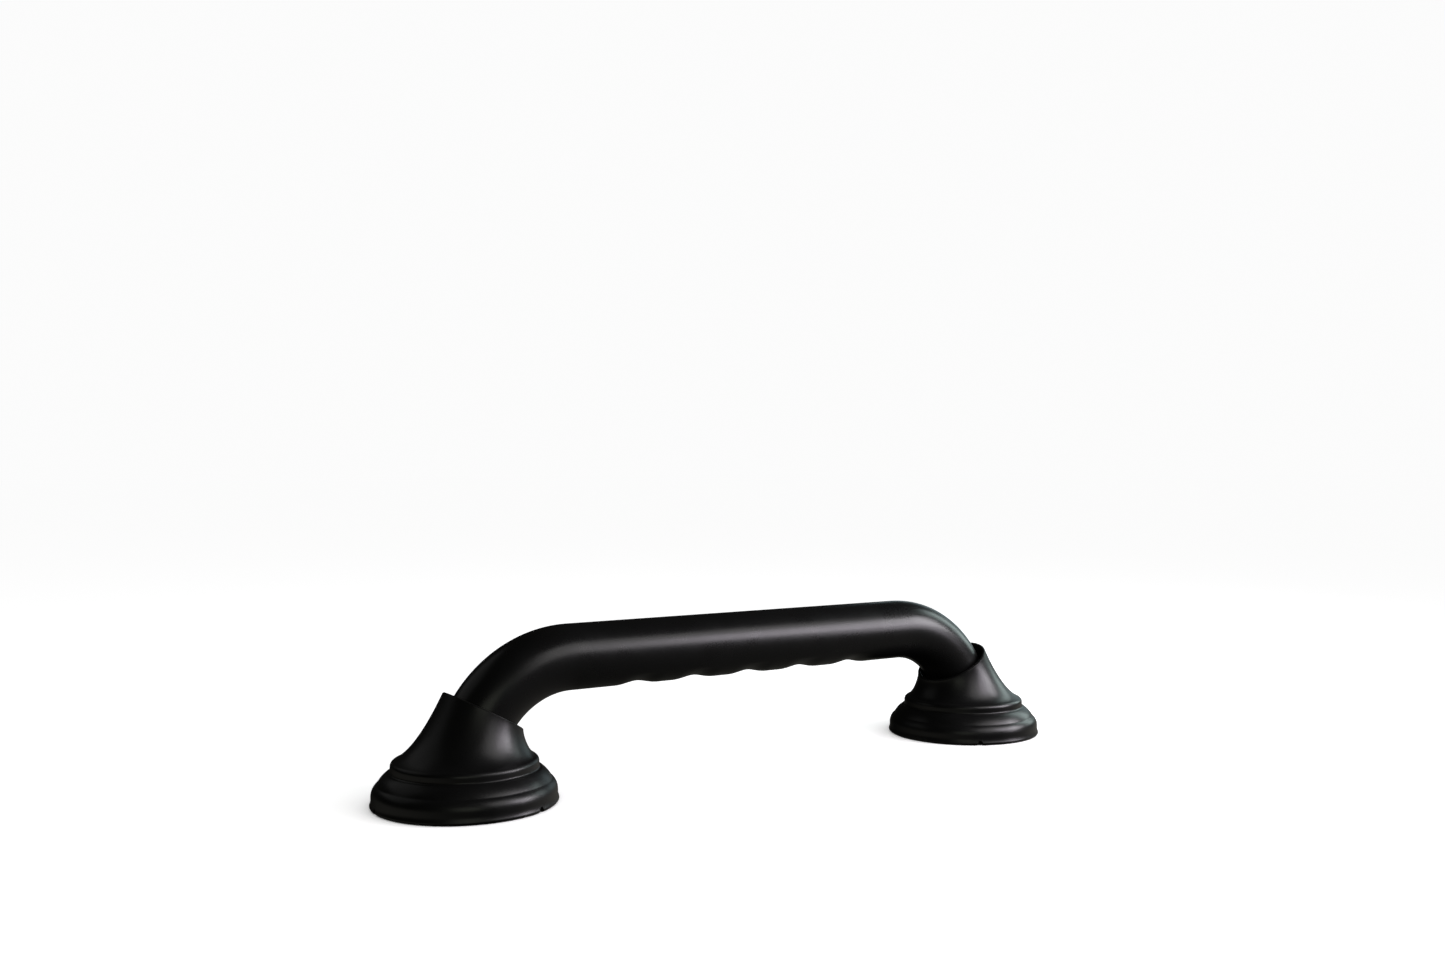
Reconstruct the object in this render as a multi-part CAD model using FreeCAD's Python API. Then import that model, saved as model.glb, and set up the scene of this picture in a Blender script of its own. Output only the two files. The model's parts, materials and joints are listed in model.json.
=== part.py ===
import FreeCAD, Part
import math
import os

# Short grab bar: a bent steel tube with pressed finger grips, a round flange plate
# welded on each end, and a loose stepped cover over each flange.
#
# Millimetres. X runs along the bar, +Z points away from the wall, and Z = 0 is the
# mounting plane. The origin is on that plane, midway between the two feet.
# The left foot, at -X, is modelled, and the right foot is its mirror image.

Vector = FreeCAD.Vector

# Bar
FEET_SPACING = 304.8        # 12 in between the feet's centres
TUBE_R = 15.875             # 1-1/4 in tube
TUBE_WALL = 1.5
AXIS_HEIGHT = 62.4          # tube's centre line above the wall
BEND_R = 52.0               # radius of the tube's centre line in each bend

# Finger grips pressed into the tube's wall side
GRIP_COUNT = 5
GRIP_PITCH = 32.5
GRIP_DEPTH = 1.6            # at the lowest line of the tube
GRIP_RADIUS = 24.0          # along the bar
GRIP_REACH_DEG = 50.0       # how far each grip wraps up either side
GRIP_BLEND_R = 8.0          # rounding where a grip runs out

# Flange plates and their welds
FLANGE_R = 36.5
FLANGE_THICK = 3.0
FLANGE_CHAMFER = 0.8
TUBE_FIT_GAP = 0.05
SCREW_PCD = 57.0
SCREW_HOLE_R = 3.0
SCREW_ANGLES = (60.0, 180.0, 300.0)     # 0 degrees points at the bar's middle
WELD_LEG = 3.6
WELD_SAG = 0.5

# Covers: (radius, height, bulge of the stretch that ends there)
LIP_R = 42.6
LIP_HEIGHT = 1.2
WALL_R = 42.0
RISER_R = 33.55
SHOULDER_R = 32.05
SHOULDER_Z = 20.33
COVER_PROFILE = (
    (LIP_R - 1.0, 0.0, 0.0),
    (LIP_R, LIP_HEIGHT, 0.35),
    (WALL_R + 0.05, 2.6, -0.12),
    (WALL_R, 5.2, 0.0),
    (39.4, 10.3, 0.67),
    (34.5, 15.4, 0.44),
    (RISER_R, 16.2, -0.15),
    (RISER_R, 18.1, 0.0),
    (SHOULDER_R, SHOULDER_Z, 0.41),
)
COVER_WALL = 2.0
CAVITY_PROFILE = (
    (WALL_R - COVER_WALL, -1.0),
    (WALL_R - COVER_WALL, 6.0),
    (37.5, 9.6),
    (32.6, 14.0),
    (RISER_R - COVER_WALL, 14.8),
    (RISER_R - COVER_WALL, 18.3),
    (31.3, 18.5),
)

# Sloped collar: from the shoulder up to a round rim that leans towards the bar's middle
RIM_R = 20.3
RIM_X = 8.9                 # rim's centre from the foot's centre
RIM_Z = 41.2
RIM_TILT = 28.5             # degrees
FLARE_RISE = 0.41           # slope of the flare where it leaves the shoulder
FLARE_PULL = 0.89           # how strongly the shoulder's direction carries on
RIM_PULL = 0.28             # how strongly the rim's direction carries down
RIM_ROUND = 0.8
RING_STEPS = 6
RING_POINTS = 32

# Small things on the cover
NOTCH_R = 1.5
NOTCH_Z = 0.5
NOTCH_ANGLES = (60.0, 180.0, 300.0)
RIB_ANGLES = (75.0, 150.0, 210.0, 285.0)
RIB_GAP = 0.5
RIB_THICK = 1.6
RIB_BOTTOM = 0.6
RIB_TOP = 6.5

FOOT_X = -FEET_SPACING / 2
FOOT = Vector(FOOT_X, 0, 0)
UP = Vector(0, 0, 1)
ALONG = Vector(1, 0, 0)
BEND_Z = AXIS_HEIGHT - BEND_R
BEND_X = FOOT_X + BEND_R


def polar(radius, degrees, z=0.0):
    """A point round the left foot's centre."""
    angle = math.radians(degrees)
    return Vector(FOOT_X + radius * math.cos(angle), radius * math.sin(angle), z)


def solid_of(shape):
    """The one solid that a boolean result holds."""
    if len(shape.Solids) != 1:
        raise ValueError("expected one solid, got %d" % len(shape.Solids))
    return shape.Solids[0]


def save(name, shape):
    solid = solid_of(shape)
    if not solid.isValid():
        raise ValueError("invalid solid: " + name)
    solid.exportStep("parts/" + name + ".step")
    box = solid.optimalBoundingBox()
    size = "%.2f x %.2f x %.2f" % (box.XLength, box.YLength, box.ZLength)
    print("%-16s %10.1f mm3  %s" % (name, solid.Volume, size))


def mirrored(shape):
    return shape.mirror(Vector(0, 0, 0), ALONG)


# Tube

def bent_rod(radius):
    """A solid round rod along the tube's centre line."""
    leg_disc = Part.Face(Part.Wire([Part.makeCircle(radius, Vector(FOOT_X, 0, BEND_Z), UP)]))
    bar_end = Vector(BEND_X, 0, AXIS_HEIGHT)
    leg = Part.makeCylinder(radius, BEND_Z, FOOT, UP)
    bend = leg_disc.revolve(Vector(BEND_X, 0, BEND_Z), Vector(0, 1, 0), 90)
    bar = Part.makeCylinder(radius, -2 * BEND_X, bar_end, ALONG)
    return bar.fuse([bend, leg, mirrored(bend), mirrored(leg)])


def grip_ring(x, offset):
    """A ring whose inner side presses one finger grip, taken in by offset."""
    reach = TUBE_R * math.cos(math.radians(GRIP_REACH_DEG))
    lift = (GRIP_DEPTH ** 2 - 2 * TUBE_R * GRIP_DEPTH) / (2 * (GRIP_DEPTH - TUBE_R + reach))
    inner = TUBE_R + lift - GRIP_DEPTH
    centre = Vector(x, 0, AXIS_HEIGHT + lift)
    return Part.makeTorus(inner + GRIP_RADIUS, GRIP_RADIUS + offset, centre, ALONG)


def grip_edges(shape):
    """The closed crease round each finger grip."""
    return [edge for edge in shape.Edges if isinstance(edge.Curve, Part.BSplineCurve)]


def grip_tube():
    outside = bent_rod(TUBE_R)
    bore = bent_rod(TUBE_R - TUBE_WALL)
    first = -GRIP_PITCH * (GRIP_COUNT - 1) / 2
    for number in range(GRIP_COUNT):
        x = first + number * GRIP_PITCH
        outside = outside.cut(grip_ring(x, 0.0))
        bore = bore.cut(grip_ring(x, TUBE_WALL))
    outside = solid_of(outside).makeFillet(GRIP_BLEND_R, grip_edges(outside))
    return outside.cut(bore)


# Flange and weld

def flange():
    plate = Part.makeCylinder(FLANGE_R, FLANGE_THICK, FOOT, UP)
    top_edges = [edge for edge in plate.Edges if edge.BoundBox.ZMin > FLANGE_THICK / 2]
    plate = plate.makeChamfer(FLANGE_CHAMFER, top_edges)
    plate = plate.cut(Part.makeCylinder(TUBE_R + TUBE_FIT_GAP, FLANGE_THICK, FOOT, UP))
    for angle in SCREW_ANGLES:
        start = polar(SCREW_PCD / 2, angle)
        plate = plate.cut(Part.makeCylinder(SCREW_HOLE_R, FLANGE_THICK, start, UP))
    return plate


def weld_bead():
    """A slightly hollow fillet weld between the tube and the plate."""
    inner = TUBE_R + TUBE_FIT_GAP
    low = Vector(inner, 0, FLANGE_THICK)
    toe = Vector(inner + WELD_LEG, 0, FLANGE_THICK)
    top = Vector(inner, 0, FLANGE_THICK + WELD_LEG)
    middle = (toe + top) * 0.5 - Vector(1, 0, 1).normalize() * WELD_SAG
    edges = [
        Part.LineSegment(low, toe).toShape(),
        Part.Arc(toe, middle, top).toShape(),
        Part.LineSegment(top, low).toShape(),
    ]
    bead = Part.Face(Part.Wire(edges)).revolve(Vector(0, 0, 0), UP, 360)
    return bead.translated(FOOT)


# Cover

def arc_edge(start, end, bulge):
    """A straight edge, or an arc that bulges outwards by the given height."""
    if bulge == 0:
        return Part.LineSegment(start, end).toShape()
    chord = end - start
    outward = Vector(chord.z, 0, -chord.x).normalize()
    return Part.Arc(start, (start + end) * 0.5 + outward * bulge, end).toShape()


def turned(profile):
    """A solid of revolution about the foot's axis from (radius, height, bulge) points."""
    edges = []
    here = Vector(0, 0, profile[0][1])
    for radius, height, bulge in profile:
        point = Vector(radius, 0, height)
        edges.append(arc_edge(here, point, bulge))
        here = point
    top = Vector(0, 0, here.z)
    edges.append(Part.LineSegment(here, top).toShape())
    edges.append(Part.LineSegment(top, edges[0].Vertexes[0].Point).toShape())
    return Part.Face(Part.Wire(edges)).revolve(Vector(0, 0, 0), UP, 360)


def flare_ring(share, base_r, base_z, rim_r):
    """Closed curve a given share of the way from the shoulder up to the rim."""
    tilt = math.radians(RIM_TILT)
    across = Vector(math.cos(tilt), 0, -math.sin(tilt))
    leaving = Vector(math.sin(tilt), 0, math.cos(tilt))
    from_base = 2 * share ** 3 - 3 * share ** 2 + 1
    base_pull = share ** 3 - 2 * share ** 2 + share
    from_rim = 1 - from_base
    rim_pull = share ** 3 - share ** 2
    points = []
    for number in range(RING_POINTS):
        angle = 2 * math.pi * number / RING_POINTS
        cos = math.cos(angle)
        sin = math.sin(angle)
        low = Vector(base_r * cos, base_r * sin, base_z)
        high = Vector(RIM_X, rim_r * sin, RIM_Z) + across * (rim_r * cos)
        reach = (high - low).Length
        inwards = Vector(-cos, -sin, FLARE_RISE).normalize()
        point = low * from_base + high * from_rim
        point += inwards * (base_pull * FLARE_PULL * reach)
        point += leaving * (rim_pull * RIM_PULL * reach)
        points.append(point)
    curve = Part.BSplineCurve()
    curve.interpolate(points, PeriodicFlag=True)
    return Part.Wire([curve.toShape()])


def rim_circle(radius):
    ring = Part.makeCircle(radius)
    ring.rotate(Vector(0, 0, 0), Vector(0, 1, 0), RIM_TILT)
    ring.translate(Vector(RIM_X, 0, RIM_Z))
    return ring


def flare(base_r, base_z, rim_r):
    """The sloped collar as a full solid between the shoulder and the rim."""
    sections = [Part.Wire([Part.makeCircle(base_r, Vector(0, 0, base_z))])]
    for step in range(1, RING_STEPS):
        sections.append(flare_ring(step / RING_STEPS, base_r, base_z, rim_r))
    sections.append(Part.Wire([rim_circle(rim_r)]))
    return Part.makeLoft(sections, True, False)


def cavity():
    """The hollow inside the cover, with a way out through the rim."""
    profile = [(radius, height, 0.0) for radius, height in CAVITY_PROFILE]
    base_r, base_z = CAVITY_PROFILE[-1]
    mouth_r = RIM_R - COVER_WALL
    leaving = Vector(math.sin(math.radians(RIM_TILT)), 0, math.cos(math.radians(RIM_TILT)))
    mouth = Part.makeCylinder(mouth_r, 2 * COVER_WALL, Vector(RIM_X, 0, RIM_Z), leaving)
    return turned(profile).fuse([flare(base_r, base_z, mouth_r), mouth])


def is_rim_edge(edge):
    """True for the two round edges of the collar's rim."""
    return edge.isClosed() and edge.BoundBox.ZMin > SHOULDER_Z + 1


def rib(angle):
    """An upright rib inside the skirt that centres the cover on the flange's edge."""
    inner = FLANGE_R + RIB_GAP
    length = WALL_R - COVER_WALL / 2 - inner
    block = Part.makeBox(length, RIB_THICK, RIB_TOP - RIB_BOTTOM)
    block.translate(Vector(inner, -RIB_THICK / 2, RIB_BOTTOM))
    block.rotate(Vector(0, 0, 0), UP, angle)
    return block


def notch(angle):
    """A cutter for a small arched notch in the cover's lower edge."""
    start = Vector(WALL_R - 2 * COVER_WALL, 0, NOTCH_Z)
    cutter = Part.makeCylinder(NOTCH_R, 3 * COVER_WALL, start, ALONG)
    cutter.rotate(Vector(0, 0, 0), UP, angle)
    return cutter


def cover():
    shell = turned(COVER_PROFILE).fuse(flare(SHOULDER_R, SHOULDER_Z, RIM_R))
    shell = solid_of(shell.cut(cavity()).removeSplitter())
    shell = shell.makeFillet(RIM_ROUND, [edge for edge in shell.Edges if is_rim_edge(edge)])
    shell = shell.fuse([rib(angle) for angle in RIB_ANGLES])
    shell = shell.cut(Part.makeCompound([notch(angle) for angle in NOTCH_ANGLES]))
    return shell.translated(FOOT)


os.makedirs("parts", exist_ok=True)
save("grip_tube", grip_tube())
for piece, shape in (("flange", flange()), ("weld_bead", weld_bead()), ("cover", cover())):
    save("left_" + piece, shape)
    save("right_" + piece, mirrored(shape))
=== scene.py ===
import json
import math

import bmesh
import bpy
from mathutils import Matrix, Vector


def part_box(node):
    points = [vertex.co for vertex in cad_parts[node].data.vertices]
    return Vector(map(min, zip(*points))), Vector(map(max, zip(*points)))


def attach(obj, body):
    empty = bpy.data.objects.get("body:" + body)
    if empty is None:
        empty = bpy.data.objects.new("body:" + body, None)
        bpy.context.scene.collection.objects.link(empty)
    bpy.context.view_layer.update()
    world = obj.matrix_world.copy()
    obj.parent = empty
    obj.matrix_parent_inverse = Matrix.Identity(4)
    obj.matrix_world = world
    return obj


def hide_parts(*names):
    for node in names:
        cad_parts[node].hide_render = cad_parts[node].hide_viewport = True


# Looks of a short black grab bar: a powder-coated tube with pressed finger grips, two
# plates welded to its ends, and two satin moulded covers. Metres, in the frame's axes.

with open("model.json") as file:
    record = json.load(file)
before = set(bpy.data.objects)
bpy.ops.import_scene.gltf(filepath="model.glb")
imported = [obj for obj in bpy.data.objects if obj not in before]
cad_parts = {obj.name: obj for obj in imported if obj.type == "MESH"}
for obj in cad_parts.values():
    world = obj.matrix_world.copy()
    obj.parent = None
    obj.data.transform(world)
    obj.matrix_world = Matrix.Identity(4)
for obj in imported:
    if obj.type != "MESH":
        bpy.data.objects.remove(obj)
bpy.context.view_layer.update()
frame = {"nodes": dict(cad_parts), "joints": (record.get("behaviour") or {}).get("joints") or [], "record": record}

MM = 0.001
joints = {joint["name"]: joint for joint in frame["joints"]}
mounts = {mount["name"]: mount for mount in frame["record"]["mounts"]}

# Driving sizes, read from the frame
FOOT_X = mounts["right_flange_bolts"]["pos_m"][0]
PIVOT_X, _, PIVOT_Z = joints["right_cover_slide_up"]["pos_m"]
tube_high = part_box("grip_tube")[1]
TUBE_R = tube_high.y
AXIS_Z = tube_high.z - TUBE_R
BEND_R = FOOT_X - PIVOT_X
PLATE_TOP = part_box("right_flange")[1].z
LIP_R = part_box("right_cover")[1].y
WELD_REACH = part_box("right_weld_bead")[1].y

# Tube and finger grips
TUBE_WALL = 1.5 * MM
TUBE_COLUMNS = 112
FOOT_STEPS = 4
BEND_STEPS = 40
BAR_STEPS = 200
GRIP_COUNT = 5
GRIP_PITCH = 32.5 * MM
GRIP_DEPTH = 1.65 * MM
GRIP_HALF = 12.0 * MM
GRIP_REACH = math.radians(55)
GRIP_FULLNESS = 0.85

# Cover
WALL_R = 42.0 * MM
RISER_R = 33.55 * MM
SHOULDER_R = 32.05 * MM
SHOULDER_Z = 20.33 * MM
COVER_WALL = 2.0 * MM
SKIRT_TOP = 5.2 * MM
LIP_Z = 1.2 * MM
LIP_ROLL = 0.9 * MM
NECK_Z = 3.8 * MM
# Outside above the skirt: radius, height, bulge of the stretch that ends there, segments
COVER_PROFILE = (
    (39.4 * MM, 10.3 * MM, 0.67 * MM, 14),
    (34.7 * MM, 15.3 * MM, 0.44 * MM, 14),
    (RISER_R, 16.1 * MM, -0.22 * MM, 6),
    (RISER_R, 18.1 * MM, 0.0, 4),
    (SHOULDER_R, SHOULDER_Z, 0.41 * MM, 12),
)
# Inside below the collar, from the top: radius, height
CAVITY_PROFILE = (
    (31.3 * MM, 18.5 * MM),
    (31.55 * MM, 18.3 * MM),
    (31.55 * MM, 14.8 * MM),
    (32.6 * MM, 14.0 * MM),
    (37.5 * MM, 9.6 * MM),
    (40.0 * MM, 6.0 * MM),
)
RIM_R = 20.3 * MM
RIM_X = 8.9 * MM
RIM_Z = 41.2 * MM
RIM_TILT = math.radians(28.5)
RIM_ACROSS = Vector((math.cos(RIM_TILT), 0, -math.sin(RIM_TILT)))
RIM_LEAVING = Vector((math.sin(RIM_TILT), 0, math.cos(RIM_TILT)))
RIM_ROUND = 0.95 * MM
FLARE_RISE = 0.41
FLARE_PULL = 0.89
RIM_PULL = 0.28
SKIRT_STEPS = 16
FLARE_STEPS = 36
RIM_STEPS = 12
INSIDE_STEPS = 20
INNER_STEPS = 6
NOTCH_R = 1.5 * MM
NOTCH_Z = 1.1 * MM
NOTCH_ANGLES = (60, 180, 300)
NOTCH_COLUMNS = (0.3, 0.6, 0.85, 0.96, 0.999, 1.08)
RIB_ANGLES = (75, 150, 210, 285)
RIB_INNER = 37.0 * MM
RIB_THICK = 1.6 * MM
RIB_BOTTOM = 0.6 * MM
RIB_TOP = 6.5 * MM
COVER_COLUMNS = 144

# Weld beads
WELD_GAP = 0.05 * MM
WELD_INSET = 0.35 * MM
WELD_HOLLOW = 0.3 * MM
WELD_LIFT = 0.18 * MM
RIPPLES = 46
RIPPLE_COLUMNS = 8
WELD_STEPS = 9


# Mesh helpers

def new_piece(name, mesh, body, replaced):
    """Put a mesh in the scene as a piece that rides a body and stands for a CAD node."""
    piece = bpy.data.objects.new(name, mesh)
    bpy.context.scene.collection.objects.link(piece)
    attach(piece, body)
    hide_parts(replaced)
    return piece


def grid_faces(bm, rows):
    """Quads between rows of vertices, closed on itself both ways."""
    count = len(rows[0])
    for i, lower in enumerate(rows):
        upper = rows[(i + 1) % len(rows)]
        for j in range(count):
            k = (j + 1) % count
            bm.faces.new((lower[j], lower[k], upper[k], upper[j]))


def move_to_foot(bm, side):
    """From a foot's own frame to its place; side is -1 for left and +1 for its mirror."""
    for vertex in bm.verts:
        vertex.co.x = side * (FOOT_X - vertex.co.x)


def finish_mesh(bm, name, sharp_angle=math.radians(40)):
    """A smooth-shaded mesh with its sharp edges marked."""
    bmesh.ops.recalc_face_normals(bm, faces=bm.faces)
    for face in bm.faces:
        face.smooth = True
    for edge in bm.edges:
        if len(edge.link_faces) == 2 and edge.calc_face_angle(0) > sharp_angle:
            edge.smooth = False
    mesh = bpy.data.meshes.new(name)
    bm.to_mesh(mesh)
    bm.free()
    return mesh


# Tube

def grip_depth(offset, angle):
    """How far a grip is pressed in, at a distance along the bar and an angle round it."""
    edge = math.cos(GRIP_REACH)
    if abs(offset) >= GRIP_HALF or math.cos(angle) <= edge:
        return 0.0
    along = math.cos(math.pi * offset / (2 * GRIP_HALF)) ** 2
    around = (math.cos(angle) - edge) / (1 - edge)
    return GRIP_DEPTH * along * around ** GRIP_FULLNESS


def tube_radius(x, angle):
    """Outer radius of the tube at a place along the bar; angle 0 faces the wall."""
    radius = TUBE_R
    for number in range(GRIP_COUNT):
        centre = (number - (GRIP_COUNT - 1) / 2) * GRIP_PITCH
        radius -= grip_depth(x - centre, angle)
    return radius


def tube_stations():
    """Points and across directions along the tube's centre line, from the left foot."""
    stations = []
    for step in range(FOOT_STEPS):
        point = Vector((-FOOT_X, 0, PIVOT_Z * step / FOOT_STEPS))
        stations.append((point, Vector((-1, 0, 0))))
    for step in range(BEND_STEPS + 1):
        turn = math.pi / 2 * step / BEND_STEPS
        across = Vector((-math.cos(turn), 0, math.sin(turn)))
        stations.append((Vector((-PIVOT_X, 0, PIVOT_Z)) + across * BEND_R, across))
    for step in range(1, BAR_STEPS // 2 + 1):
        x = -PIVOT_X + 2 * PIVOT_X * step / BAR_STEPS
        stations.append((Vector((x, 0, AXIS_Z)), Vector((0, 0, 1))))
    for point, across in reversed(stations[:-1]):
        stations.append((Vector((-point.x, 0, point.z)), Vector((-across.x, 0, across.z))))
    return stations


def tube_mesh():
    """The hollow tube, with the grips dented through its whole wall."""
    bm = bmesh.new()
    outer = []
    inner = []
    side = Vector((0, 1, 0))
    for point, across in tube_stations():
        out_row = []
        in_row = []
        for column in range(TUBE_COLUMNS):
            angle = 2 * math.pi * column / TUBE_COLUMNS
            radius = TUBE_R
            if abs(point.x) < PIVOT_X:
                radius = tube_radius(point.x, angle)
            out_from_axis = -across * math.cos(angle) + side * math.sin(angle)
            out_row.append(bm.verts.new(point + out_from_axis * radius))
            in_row.append(bm.verts.new(point + out_from_axis * (radius - TUBE_WALL)))
        outer.append(out_row)
        inner.append(in_row)
    grid_faces(bm, outer + inner[::-1])
    return finish_mesh(bm, "bent_tube")


# Covers

def arc_points(start, end, bulge, segments):
    """Points after start along an arc that bulges outwards by the given height."""
    chord = end - start
    outward = Vector((chord.y, -chord.x)).normalized()
    points = []
    for step in range(1, segments + 1):
        share = step / segments
        if bulge == 0:
            points.append(start + chord * share)
            continue
        half = chord.length / 2
        radius = (half * half + bulge * bulge) / (2 * abs(bulge))
        sign = math.copysign(1, bulge)
        half_turn = math.asin(min(1, half / radius))
        turn = half_turn * (2 * share - 1)
        centre = (start + end) / 2 - outward * (radius - abs(bulge)) * sign
        along = chord.normalized() * (radius * math.sin(turn))
        points.append(centre + outward * (radius * math.cos(turn) * sign) + along)
    return points


def skirt_radius(z):
    """Outer radius of the cover's lowest band: a small rolled lip under a plain wall."""
    if z < LIP_Z:
        share = 1 - z / LIP_Z
        return LIP_R - LIP_ROLL * share * share
    if z < NECK_Z:
        share = (z - LIP_Z) / (NECK_Z - LIP_Z)
        return LIP_R + (WALL_R - LIP_R) * share * (2 - share)
    return WALL_R


def notch_height(angle):
    """How high the cover's lower edge stands at an angle round the foot."""
    for centre in NOTCH_ANGLES:
        away = math.remainder(angle - math.radians(centre), 2 * math.pi) * WALL_R
        if abs(away) < NOTCH_R:
            return NOTCH_Z + math.sqrt(NOTCH_R ** 2 - away ** 2)
    return 0.0


def cover_angles():
    """Angles of the cover's columns, closer together at the notches."""
    angles = {2 * math.pi * column / COVER_COLUMNS for column in range(COVER_COLUMNS)}
    for centre in NOTCH_ANGLES:
        middle = math.radians(centre)
        for share in NOTCH_COLUMNS:
            angles.add(middle - share * NOTCH_R / WALL_R)
            angles.add(middle + share * NOTCH_R / WALL_R)
    return sorted(angles)


def flare_point(share, angle, base_r, base_z, rim_r):
    """A point on the sloped collar, a share of the way from the shoulder to the rim."""
    cos = math.cos(angle)
    sin = math.sin(angle)
    low = Vector((base_r * cos, base_r * sin, base_z))
    high = Vector((RIM_X, rim_r * sin, RIM_Z)) + RIM_ACROSS * (rim_r * cos)
    reach = (high - low).length
    inwards = Vector((-cos, -sin, FLARE_RISE)).normalized()
    from_base = 2 * share ** 3 - 3 * share ** 2 + 1
    base_pull = share ** 3 - 2 * share ** 2 + share
    rim_pull = share ** 3 - share ** 2
    point = low * from_base + high * (1 - from_base)
    point += inwards * (base_pull * FLARE_PULL * reach)
    return point + RIM_LEAVING * (rim_pull * RIM_PULL * reach)


def rim_point(angle, turn):
    """A point on the rounded rim: turn runs from the outer wall, over the top, inwards."""
    out = RIM_ACROSS * math.cos(angle) + Vector((0, math.sin(angle), 0))
    swing = math.pi * turn
    if turn < 0.5:
        centre_r = RIM_R - RIM_ROUND
    else:
        centre_r = RIM_R - COVER_WALL + RIM_ROUND
    away = centre_r + RIM_ROUND * math.cos(swing)
    lift = RIM_ROUND * (math.sin(swing) - 1)
    return Vector((RIM_X, 0, RIM_Z)) + out * away + RIM_LEAVING * lift


def cover_column(angle):
    """The closed outline of the cover's wall at one angle, in the left foot's own frame."""
    cos = math.cos(angle)
    sin = math.sin(angle)
    edge_z = notch_height(angle)
    column = []
    for step in range(SKIRT_STEPS + 1):
        z = edge_z + (SKIRT_TOP - edge_z) * step / SKIRT_STEPS
        column.append(Vector((skirt_radius(z) * cos, skirt_radius(z) * sin, z)))
    here = Vector((WALL_R, SKIRT_TOP))
    for radius, height, bulge, segments in COVER_PROFILE:
        end = Vector((radius, height))
        for point in arc_points(here, end, bulge, segments):
            column.append(Vector((point.x * cos, point.x * sin, point.y)))
        here = end
    rim_share = 1 - RIM_ROUND / (RIM_Z - SHOULDER_Z)
    for step in range(1, FLARE_STEPS + 1):
        share = rim_share * step / FLARE_STEPS
        column.append(flare_point(share, angle, SHOULDER_R, SHOULDER_Z, RIM_R))
    for step in range(RIM_STEPS + 1):
        column.append(rim_point(angle, step / RIM_STEPS))
    base_r, base_z = CAVITY_PROFILE[0]
    for step in range(1, INSIDE_STEPS + 1):
        share = rim_share * (1 - step / INSIDE_STEPS)
        column.append(flare_point(share, angle, base_r, base_z, RIM_R - COVER_WALL))
    for radius, height in CAVITY_PROFILE[1:]:
        column.append(Vector((radius * cos, radius * sin, height)))
    inner_r = WALL_R - COVER_WALL
    for step in range(1, INNER_STEPS + 1):
        z = CAVITY_PROFILE[-1][1] * (1 - step / INNER_STEPS)
        column.append(Vector((inner_r * cos, inner_r * sin, z)))
    return column


def add_rib(bm, angle):
    """One upright rib inside the skirt, a closed block that runs into the wall."""
    turn = Matrix.Rotation(math.radians(angle), 4, "Z")
    outer = WALL_R - COVER_WALL / 2
    corners = []
    for z in (RIB_BOTTOM, RIB_TOP):
        for x, y in ((RIB_INNER, -1), (outer, -1), (outer, 1), (RIB_INNER, 1)):
            corners.append(bm.verts.new(turn @ Vector((x, y * RIB_THICK / 2, z))))
    sides = ((0, 1, 2, 3), (4, 5, 6, 7), (0, 1, 5, 4), (1, 2, 6, 5), (2, 3, 7, 6), (3, 0, 4, 7))
    for side in sides:
        bm.faces.new([corners[index] for index in side])


def cover_mesh(name, side):
    """The cover's shell and the ribs inside it."""
    bm = bmesh.new()
    columns = [cover_column(angle) for angle in cover_angles()]
    rows = []
    for point_index in range(len(columns[0])):
        rows.append([bm.verts.new(column[point_index]) for column in columns])
    grid_faces(bm, rows)
    for angle in RIB_ANGLES:
        add_rib(bm, angle)
    move_to_foot(bm, side)
    return finish_mesh(bm, name)


# Weld beads

def weld_mesh(name, side):
    """A fillet weld laid as a row of overlapping ripples round the tube."""
    bm = bmesh.new()
    columns = RIPPLES * RIPPLE_COLUMNS
    inner = TUBE_R + WELD_GAP
    leg = WELD_REACH - inner
    rows = []
    for step in range(WELD_STEPS + 1):
        share = step / WELD_STEPS
        row = []
        for column in range(columns):
            phase = (column % RIPPLE_COLUMNS) / RIPPLE_COLUMNS
            angle = 2 * math.pi * column / columns
            lift = WELD_LIFT * math.sin(math.pi * phase) * math.sin(math.pi * share)
            sway = 0.08 * MM * math.sin(7 * angle + 1.3) + 0.05 * MM * math.sin(17 * angle)
            swell = (leg - WELD_INSET + sway) * (1 - share)
            height = (leg - WELD_INSET + sway) * share
            hollow = WELD_HOLLOW * math.sin(math.pi * share) - lift
            radius = inner + swell - hollow * 0.7
            z = PLATE_TOP + height - hollow * 0.7
            row.append(bm.verts.new((radius * math.cos(angle), radius * math.sin(angle), z)))
        rows.append(row)
    root = []
    for column in range(columns):
        angle = 2 * math.pi * column / columns
        corner = (inner * math.cos(angle), inner * math.sin(angle), PLATE_TOP)
        root.append(bm.verts.new(corner))
    rows.append(root)
    grid_faces(bm, rows)
    move_to_foot(bm, side)
    return finish_mesh(bm, name, math.radians(60))


# Materials

def node_material(name):
    """A new material with its nodes, its links and its shader."""
    material = bpy.data.materials.new(name)
    material.use_nodes = True
    nodes = material.node_tree.nodes
    return material, nodes, material.node_tree.links, nodes["Principled BSDF"]


def noise(nodes, links, coordinates, scale, detail):
    texture = nodes.new("ShaderNodeTexNoise")
    texture.inputs["Scale"].default_value = scale
    texture.inputs["Detail"].default_value = detail
    texture.inputs["Roughness"].default_value = 0.5
    links.new(coordinates, texture.inputs["Vector"])
    return texture.outputs["Fac"]


def ramp(nodes, links, value, stops):
    """A colour ramp through (position, colour) stops."""
    node = nodes.new("ShaderNodeValToRGB")
    elements = node.color_ramp.elements
    while len(elements) < len(stops):
        elements.new(0.5)
    for element, (position, colour) in zip(elements, stops):
        element.position = position
        element.color = (*colour, 1)
    links.new(value, node.inputs["Fac"])
    return node.outputs["Color"]


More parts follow.
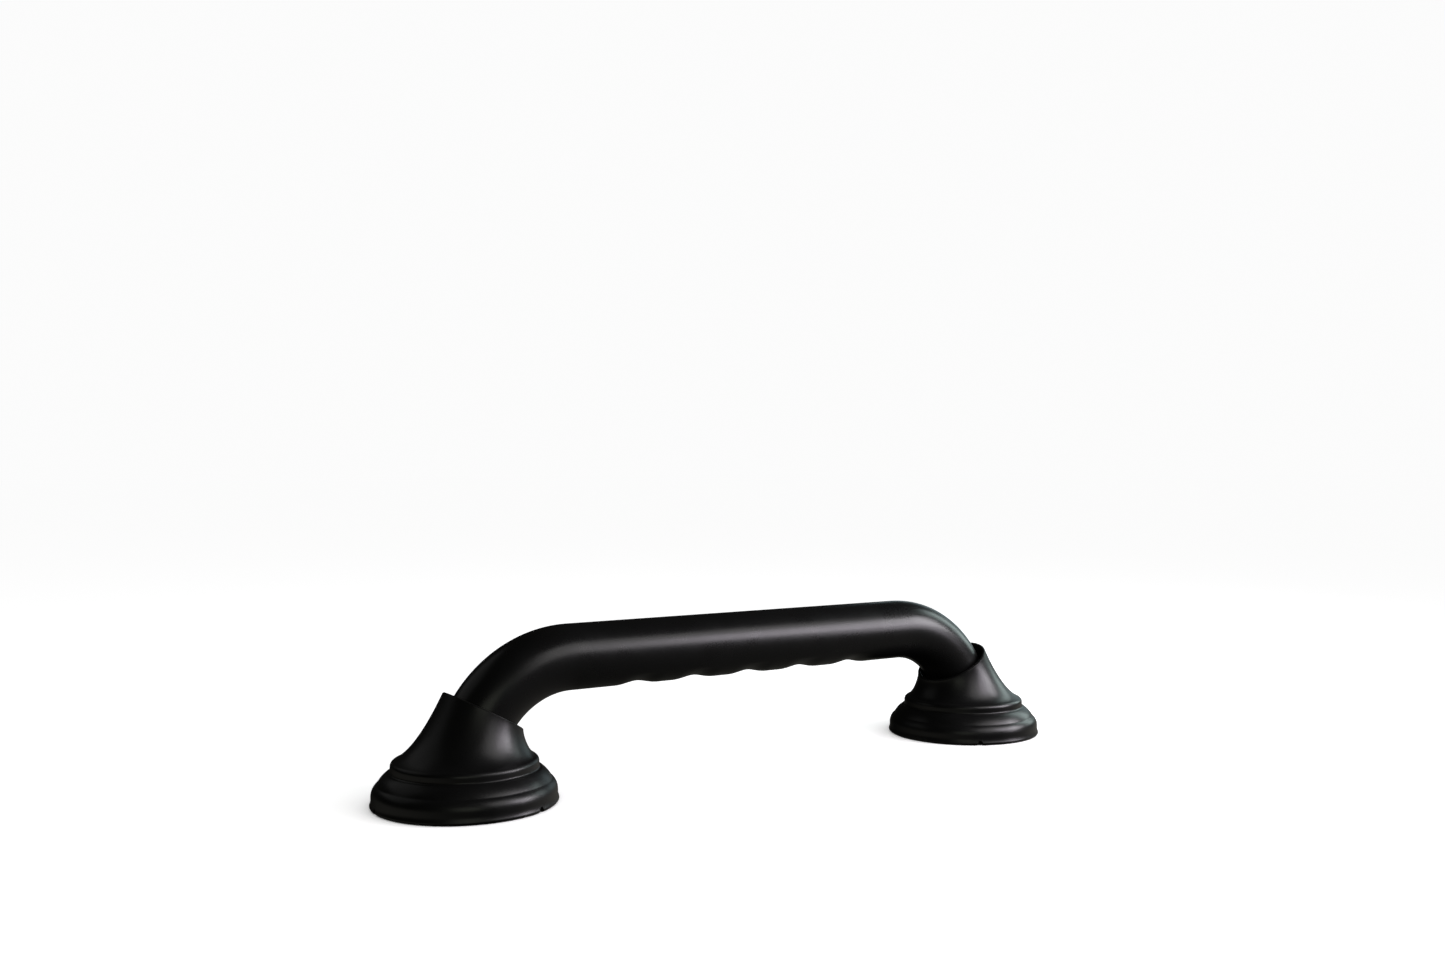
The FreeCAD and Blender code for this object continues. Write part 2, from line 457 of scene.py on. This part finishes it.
def spread(nodes, links, value, low, high):
    """Map a 0 to 1 value onto low to high."""
    node = nodes.new("ShaderNodeMapRange")
    node.inputs["From Min"].default_value = 0.3
    node.inputs["From Max"].default_value = 0.7
    node.inputs["To Min"].default_value = low
    node.inputs["To Max"].default_value = high
    links.new(value, node.inputs["Value"])
    return node.outputs["Result"]


def bump(nodes, links, height, distance, strength, below=None):
    node = nodes.new("ShaderNodeBump")
    node.inputs["Distance"].default_value = distance
    node.inputs["Strength"].default_value = strength
    links.new(height, node.inputs["Height"])
    if below is not None:
        links.new(below, node.inputs["Normal"])
    return node.outputs["Normal"]


def black_finish(name, tone, gloss, peel_scale, peel_height, specular):
    """Satin black: a soft sheen that varies a little, over a fine orange-peel skin."""
    material, nodes, links, shader = node_material(name)
    where = nodes.new("ShaderNodeTexCoord").outputs["Object"]
    cloud = noise(nodes, links, where, 34, 4)
    speck = noise(nodes, links, where, 1500, 2)
    low, high = tone
    colours = ((0.25, (low, low, low * 0.98)), (0.8, (high, high, high)))
    links.new(ramp(nodes, links, cloud, colours), shader.inputs["Base Color"])
    smudge = noise(nodes, links, where, 75, 3)
    links.new(spread(nodes, links, smudge, *gloss), shader.inputs["Roughness"])
    shader.inputs["Specular IOR Level"].default_value = specular
    peel = noise(nodes, links, where, peel_scale, 2)
    soft = bump(nodes, links, peel, peel_height, 0.35)
    skin = bump(nodes, links, speck, peel_height * 0.1, 0.2, soft)
    links.new(skin, shader.inputs["Normal"])
    return material


def paint(piece, material):
    piece.data.materials.clear()
    piece.data.materials.append(material)


coat = black_finish("powder_coat", (0.004, 0.006), (0.26, 0.31), 620, 0.00004, 0.28)
moulding = black_finish("moulded_black", (0.004, 0.006), (0.29, 0.37), 800, 0.00005, 0.28)

# Pieces

tube = new_piece("bent_tube", tube_mesh(), "root", "grip_tube")
paint(tube, coat)
for side_name, side in (("left", -1), ("right", 1)):
    shell_name = side_name + "_stepped_cover"
    body = side_name + "_cover_body"
    shell = new_piece(shell_name, cover_mesh(shell_name, side), body,
                      side_name + "_cover")
    paint(shell, moulding)
    bead_name = side_name + "_rippled_weld"
    bead = new_piece(bead_name, weld_mesh(bead_name, side), "root",
                     side_name + "_weld_bead")
    paint(bead, coat)
    paint(frame["nodes"][side_name + "_flange"], coat)

# Stage, lights and camera

FLOOR_SIZE = 60.0
FLOOR_DROP = 0.1 * MM


def floor_material():
    """Pale sweep that glows; ambient occlusion darkens the glow wherever something covers it, a painted shade
    under and beside the bar, so its real shadows stay faint.
    """
    material, nodes, links, shader = node_material("pale_floor")
    where = nodes.new("ShaderNodeTexCoord").outputs["Object"]
    grain = noise(nodes, links, where, 900, 3)
    tones = ((0.3, (0.68, 0.68, 0.68)), (0.7, (0.72, 0.72, 0.72)))
    links.new(ramp(nodes, links, grain, tones), shader.inputs["Base Color"])
    shader.inputs["Roughness"].default_value = 0.9
    shader.inputs["Specular IOR Level"].default_value = 0.1
    # Painted shade: the glow's colour comes from ambient occlusion, so it darkens near and under the bar and
    # inside the covers.
    painted_shade = nodes.new("ShaderNodeAmbientOcclusion")
    painted_shade.samples = 3
    painted_shade.inputs["Distance"].default_value = 0.05
    links.new(painted_shade.outputs["Color"], shader.inputs["Emission Color"])
    shader.inputs["Emission Strength"].default_value = 0.96
    return material


def add_floor():
    """The floor isn't mirrored in the bar's gloss, which keeps its underside dark."""
    mesh = bpy.data.meshes.new("floor")
    half = FLOOR_SIZE / 2
    corners = [(-half, -half, 0), (half, -half, 0), (half, half, 0), (-half, half, 0)]
    mesh.from_pydata(corners, [], [(0, 1, 2, 3)])
    floor = bpy.data.objects.new("floor", mesh)
    bpy.context.scene.collection.objects.link(floor)
    floor.location.z = -FLOOR_DROP
    floor.visible_glossy = False
    floor.visible_diffuse = False
    paint(floor, floor_material())


# Softboxes round the set: (name, azimuth, elevation, width, height, watts, colour), all
# aimed at the bar. Three small key boxes stand beside a wide halo box.
SOFTBOX_DISTANCE = 0.75
SOFTBOX_AIM = Vector((0, 0, 0.04))
SOFTBOXES = (
    ("key_left", -52, 27, 0.20, 0.24, 1.30, (0.95, 0.87, 1.0)),
    ("key_low", -41, 14, 0.20, 0.22, 1.25, (0.97, 0.91, 1.0)),
    ("key_right", -30, 23, 0.20, 0.24, 2.45, (0.98, 0.95, 1.0)),
    ("key_halo", -64, 35, 0.62, 0.42, 2.35, (1.0, 0.98, 0.97)),
    ("right_strip", 2, 20, 0.20, 0.36, 0.95, (0.83, 1.0, 0.98)),
    ("right_edge", 30, 11, 0.38, 0.28, 0.22, (0.75, 0.96, 1.0)),
    ("low_front", -120, 14, 0.38, 0.30, 0.32, (0.95, 1.0, 0.83)),
    ("back_left", 140, 34, 0.60, 0.40, 0.16, (1.0, 1.0, 1.0)),
)


def softbox(name, azimuth, elevation, width, height, watts, colour):
    data = bpy.data.lights.new(name, "AREA")
    data.shape = "RECTANGLE"
    data.size = width
    data.size_y = height
    data.energy = watts
    data.color = colour
    turn = math.radians(azimuth)
    rise = math.radians(elevation)
    away = Vector((
        math.cos(turn) * math.cos(rise),
        math.sin(turn) * math.cos(rise),
        math.sin(rise),
    ))
    light = bpy.data.objects.new(name, data)
    light.location = SOFTBOX_AIM + away * SOFTBOX_DISTANCE
    light.rotation_euler = (-away).to_track_quat("-Z", "Y").to_euler()
    bpy.context.scene.collection.objects.link(light)


def studio_world():
    """A dark room with a paler floor line at either end of the bar.

    The camera sees the room as the pale sweep going on.
    """
    world = bpy.data.worlds.new("studio")
    bpy.context.scene.world = world
    world.use_nodes = True
    nodes = world.node_tree.nodes
    links = world.node_tree.links
    towards = nodes.new("ShaderNodeSeparateXYZ")
    links.new(nodes.new("ShaderNodeTexCoord").outputs["Generated"], towards.inputs["Vector"])
    endways = nodes.new("ShaderNodeMath")
    endways.operation = "MULTIPLY"
    links.new(towards.outputs["X"], endways.inputs[0])
    links.new(towards.outputs["X"], endways.inputs[1])
    below = ramp(nodes, links, towards.outputs["Z"], ((0.0, (1, 1, 1)), (0.03, (0, 0, 0))))
    share = nodes.new("ShaderNodeMath")
    share.operation = "MULTIPLY"
    links.new(endways.outputs["Value"], share.inputs[0])
    links.new(below, share.inputs[1])
    dark = nodes["Background"]
    dark.inputs["Color"].default_value = (0.012, 0.012, 0.011, 1)
    pale = nodes.new("ShaderNodeBackground")
    pale.inputs["Color"].default_value = (0.3, 0.29, 0.26, 1)
    room = nodes.new("ShaderNodeMixShader")
    links.new(share.outputs["Value"], room.inputs["Fac"])
    links.new(dark.outputs["Background"], room.inputs[1])
    links.new(pale.outputs["Background"], room.inputs[2])
    sweep = nodes.new("ShaderNodeBackground")
    sweep.inputs["Color"].default_value = (0.97, 0.97, 0.97, 1)
    seen = nodes.new("ShaderNodeMixShader")
    links.new(nodes.new("ShaderNodeLightPath").outputs["Is Camera Ray"], seen.inputs["Fac"])
    links.new(room.outputs["Shader"], seen.inputs[1])
    links.new(sweep.outputs["Background"], seen.inputs[2])
    links.new(seen.outputs["Shader"], nodes["World Output"].inputs["Surface"])


CAMERA_AT = (-0.3789, -0.5728, 0.1496)
CAMERA_HEADING = 32.6
CAMERA_TILT = -0.34
CAMERA_ROLL = -0.17
CAMERA_LENS = 33.04


def add_camera():
    """The camera stands in front of the left foot, nearly level, and looks past it."""
    heading = math.radians(CAMERA_HEADING)
    tilt = math.radians(CAMERA_TILT)
    roll = math.radians(CAMERA_ROLL)
    ahead = Vector((
        math.sin(heading) * math.cos(tilt),
        math.cos(heading) * math.cos(tilt),
        math.sin(tilt),
    ))
    level = Vector((math.cos(heading), -math.sin(heading), 0))
    above = level.cross(ahead)
    right = level * math.cos(roll) + above * math.sin(roll)
    up = above * math.cos(roll) - level * math.sin(roll)
    data = bpy.data.cameras.new("camera")
    data.sensor_fit = "HORIZONTAL"
    data.sensor_width = 36.0
    data.lens = CAMERA_LENS
    data.clip_start = 0.01
    camera = bpy.data.objects.new("camera", data)
    turn = Matrix((right, up, -ahead)).transposed().to_4x4()
    camera.matrix_world = Matrix.Translation(CAMERA_AT) @ turn
    bpy.context.scene.collection.objects.link(camera)
    bpy.context.scene.camera = camera


add_floor()
studio_world()
for box in SOFTBOXES:
    softbox(*box)
add_camera()
bpy.context.scene.view_settings.view_transform = "Standard"
